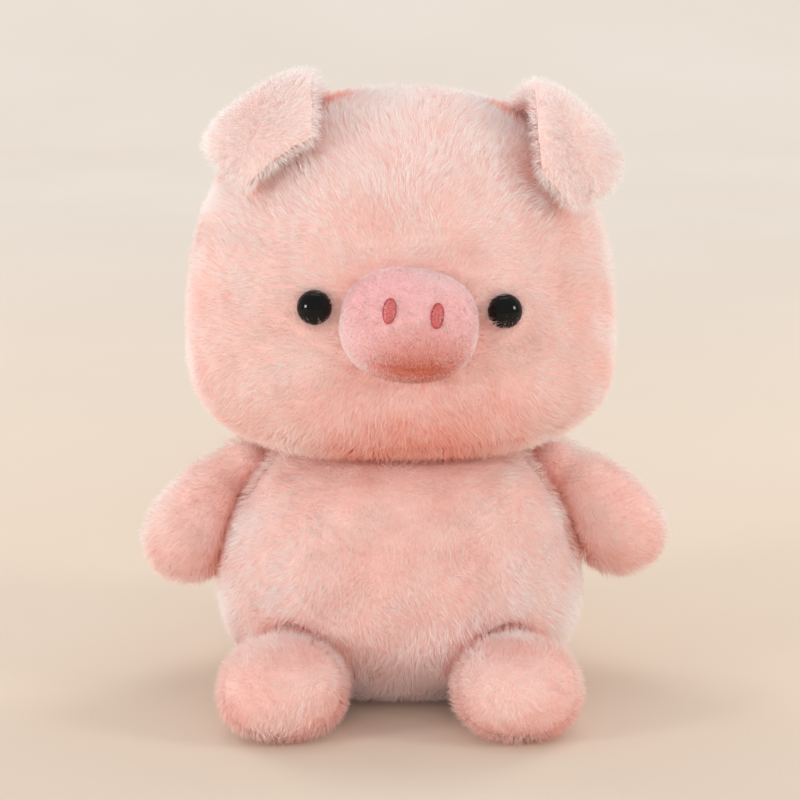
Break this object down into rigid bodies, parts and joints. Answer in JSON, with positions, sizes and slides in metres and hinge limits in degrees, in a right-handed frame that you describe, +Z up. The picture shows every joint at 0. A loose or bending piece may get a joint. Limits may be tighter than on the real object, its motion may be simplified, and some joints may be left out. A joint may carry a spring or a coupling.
{
  "type": "plush pig",
  "caption": "Seated plush pig with a large boxy head, folded ears, padded oval snout, bead eyes and stubby sewn-on limbs that bend at their seams and spring back.",
  "frame": {"origin": "on the table, in the middle of the flat base of the body", "axes": "+Z up, the pig faces -Y, and its left side is +X"},
  "size_m": [0.1866, 0.1651, 0.2217],
  "materials": {
    "plush": "long soft pile",
    "lining": "short pile",
    "velour": "short velour pile",
    "floss": "satin-stitch embroidery",
    "eye_plastic": "polished",
    "washer_plastic": "moulded",
    "fibre": "loose fibre fill",
    "seam": "rolled sewn seam"
  },
  "bodies": {
    "body": {"body_cover": "plush", "body_stuffing": "fibre", "hip_left_seam": "seam", "hip_right_seam": "seam"},
    "neck": {"neck_seam": "seam"},
    "head": {"head_cover": "plush", "head_stuffing": "fibre", "eye_left": "eye_plastic", "eye_right": "eye_plastic", "eye_left_washer": "washer_plastic", "eye_right_washer": "washer_plastic", "snout_cover": "velour", "snout_stuffing": "fibre", "nostril_left": "floss", "nostril_right": "floss"},
    "tail": {"tail": "plush"},
    "ear_left": {"ear_left_panel": "plush", "ear_left_lining": "lining"},
    "shoulder_left": {"shoulder_left_seam": "seam"},
    "arm_left": {"arm_left_cover": "plush", "arm_left_stuffing": "fibre"},
    "leg_left": {"leg_left_cover": "plush", "leg_left_stuffing": "fibre"},
    "ear_right": {"ear_right_panel": "plush", "ear_right_lining": "lining"},
    "shoulder_right": {"shoulder_right_seam": "seam"},
    "arm_right": {"arm_right_cover": "plush", "arm_right_stuffing": "fibre"},
    "leg_right": {"leg_right_cover": "plush", "leg_right_stuffing": "fibre"}
  },
  "joints": [
    {"name": "head_turn", "type": "hinge", "parent": "body", "child": "neck", "pos_m": [0, 0, 0.106], "axis": [0, 0, 1], "range_deg": [-20, 20], "stiffness_Nm_per_rad": 0.5},
    {"name": "head_nod", "type": "hinge", "parent": "neck", "child": "head", "pos_m": [0, 0, 0.106], "axis": [1, 0, 0], "range_deg": [-7, 7], "stiffness_Nm_per_rad": 1},
    {"name": "arm_left_swing", "type": "hinge", "parent": "body", "child": "shoulder_left", "pos_m": [0.05545, 0.00475, 0.07736], "axis": [-0.8199, -0.064, -0.5689], "range_deg": [-25, 45], "stiffness_Nm_per_rad": 0.02},
    {"name": "arm_left_lift", "type": "hinge", "parent": "shoulder_left", "child": "arm_left", "pos_m": [0.05545, 0.00475, 0.07736], "axis": [-0.012, -0.9916, 0.1286], "range_deg": [0, 40], "stiffness_Nm_per_rad": 0.02},
    {"name": "leg_left_lift", "type": "hinge", "parent": "body", "child": "leg_left", "pos_m": [0.03883, -0.04308, 0.01762], "axis": [-1, 0, 0], "range_deg": [0, 20], "stiffness_Nm_per_rad": 0.05},
    {"name": "ear_left_lift", "type": "hinge", "parent": "head", "child": "ear_left", "pos_m": [0.05085, -0.00374, 0.19882], "axis": [-0.7491, -0.0351, 0.6616], "range_deg": [-5, 45], "stiffness_Nm_per_rad": 0.01},
    {"name": "arm_right_swing", "type": "hinge", "parent": "body", "child": "shoulder_right", "pos_m": [-0.05545, 0.00475, 0.07736], "axis": [-0.8199, 0.064, 0.5689], "range_deg": [-25, 45], "stiffness_Nm_per_rad": 0.02},
    {"name": "arm_right_lift", "type": "hinge", "parent": "shoulder_right", "child": "arm_right", "pos_m": [-0.05545, 0.00475, 0.07736], "axis": [-0.012, 0.9916, -0.1286], "range_deg": [0, 40], "stiffness_Nm_per_rad": 0.02},
    {"name": "leg_right_lift", "type": "hinge", "parent": "body", "child": "leg_right", "pos_m": [-0.03883, -0.04308, 0.01762], "axis": [-1, 0, 0], "range_deg": [0, 20], "stiffness_Nm_per_rad": 0.05},
    {"name": "ear_right_lift", "type": "hinge", "parent": "head", "child": "ear_right", "pos_m": [-0.04254, -0.00828, 0.20444], "axis": [-0.8457, -0.044, -0.5318], "range_deg": [-5, 45], "stiffness_Nm_per_rad": 0.01},
    {"name": "tail_wag", "type": "hinge", "parent": "body", "child": "tail", "pos_m": [0, 0.0557, 0.03991], "axis": [0, 0, 1], "range_deg": [-20, 20], "stiffness_Nm_per_rad": 0.003}
  ]
}
